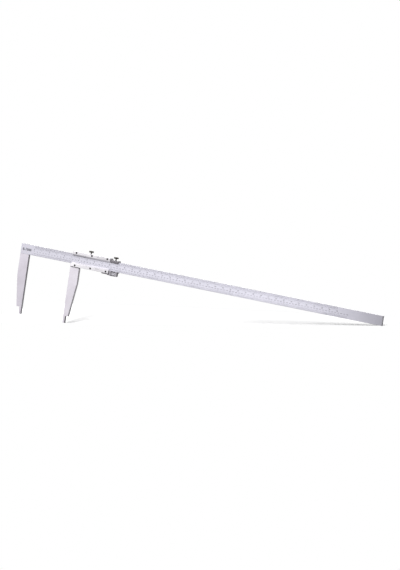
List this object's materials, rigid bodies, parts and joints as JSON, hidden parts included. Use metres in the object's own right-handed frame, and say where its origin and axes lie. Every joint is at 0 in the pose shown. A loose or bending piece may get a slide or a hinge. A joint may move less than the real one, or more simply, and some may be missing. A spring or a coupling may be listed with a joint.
{
  "type": "single jaw vernier caliper",
  "caption": "Long beam caliper with one pair of outside jaws with nibs, a slider with bevelled vernier plates, and a clamped fine-adjust carriage.",
  "frame": {"origin": "middle of the fixed jaw's measuring face, halfway along the jaw and halfway through its thickness", "axes": "+X along the beam, out of the fixed measuring face towards the beam's far end; +Y from the scale side to the back; +Z from the jaws' tips towards the beam"},
  "size_m": [1.21, 0.0137, 0.2147],
  "materials": {
    "beam": "satin chrome over ground steel, with black engraved scales",
    "jaws": "ground and satin chromed, measuring faces lapped",
    "slider": "satin chrome",
    "vernier_plates": "bright satin chrome with black engraved lines",
    "dark_screws": "black oxide",
    "bronze": "rolled spring bronze",
    "lock_screws": "dark nickel, straight knurled",
    "carriage": "mid grey satin",
    "spindle": "turned and threaded steel",
    "nut": "bright straight knurling"
  },
  "bodies": {
    "beam": {"beam": "beam", "fixed_jaw": "jaws", "fixed_jaw_rivets": "jaws"},
    "slider": {"sliding_jaw": "jaws", "slider_top_rail": "slider", "slider_back_plate": "slider", "inch_vernier_plate": "vernier_plates", "metric_vernier_plate": "vernier_plates", "upper_plate_screws": "dark_screws", "lower_plate_screws": "dark_screws", "back_plate_screws": "dark_screws", "slider_gib": "bronze", "gib_set_screws": "dark_screws", "spindle_bracket": "carriage", "bracket_screws": "dark_screws", "fine_adjust_spindle": "spindle", "spindle_pin": "dark_screws"},
    "slider_lock": {"slider_lock_screw": "lock_screws"},
    "carriage": {"carriage_body": "carriage", "carriage_clamp_pad": "bronze"},
    "carriage_lock": {"carriage_lock_screw": "lock_screws"},
    "nut": {"fine_adjust_nut": "nut"}
  },
  "joints": [
    {"name": "slider_slide", "type": "slide", "parent": "beam", "child": "slider", "axis": [1, 0, 0], "range_m": [-0.142, 0.858]},
    {"name": "slider_lock_turn", "type": "hinge", "parent": "slider", "child": "slider_lock", "pos_m": [0.2025, 0, 0.1255], "axis": [0, 0, 1], "range_deg": [-90, 360]},
    {"name": "carriage_slide", "type": "slide", "parent": "slider", "child": "carriage", "axis": [1, 0, 0], "range_m": [-0.0008, 0.0072]},
    {"name": "carriage_lock_turn", "type": "hinge", "parent": "carriage", "child": "carriage_lock", "pos_m": [0.2868, 0, 0.1221], "axis": [0, 0, 1], "range_deg": [-90, 360]},
    {"name": "nut_turn", "type": "hinge", "parent": "carriage", "child": "nut", "pos_m": [0.2854, 0, 0.0783], "axis": [1, 0, 0], "range_deg": [-361, 3241]}
  ],
  "couplings": [
    {"joint": "nut_turn", "follows": "carriage_slide", "rad_per_m": 7854}
  ]
}
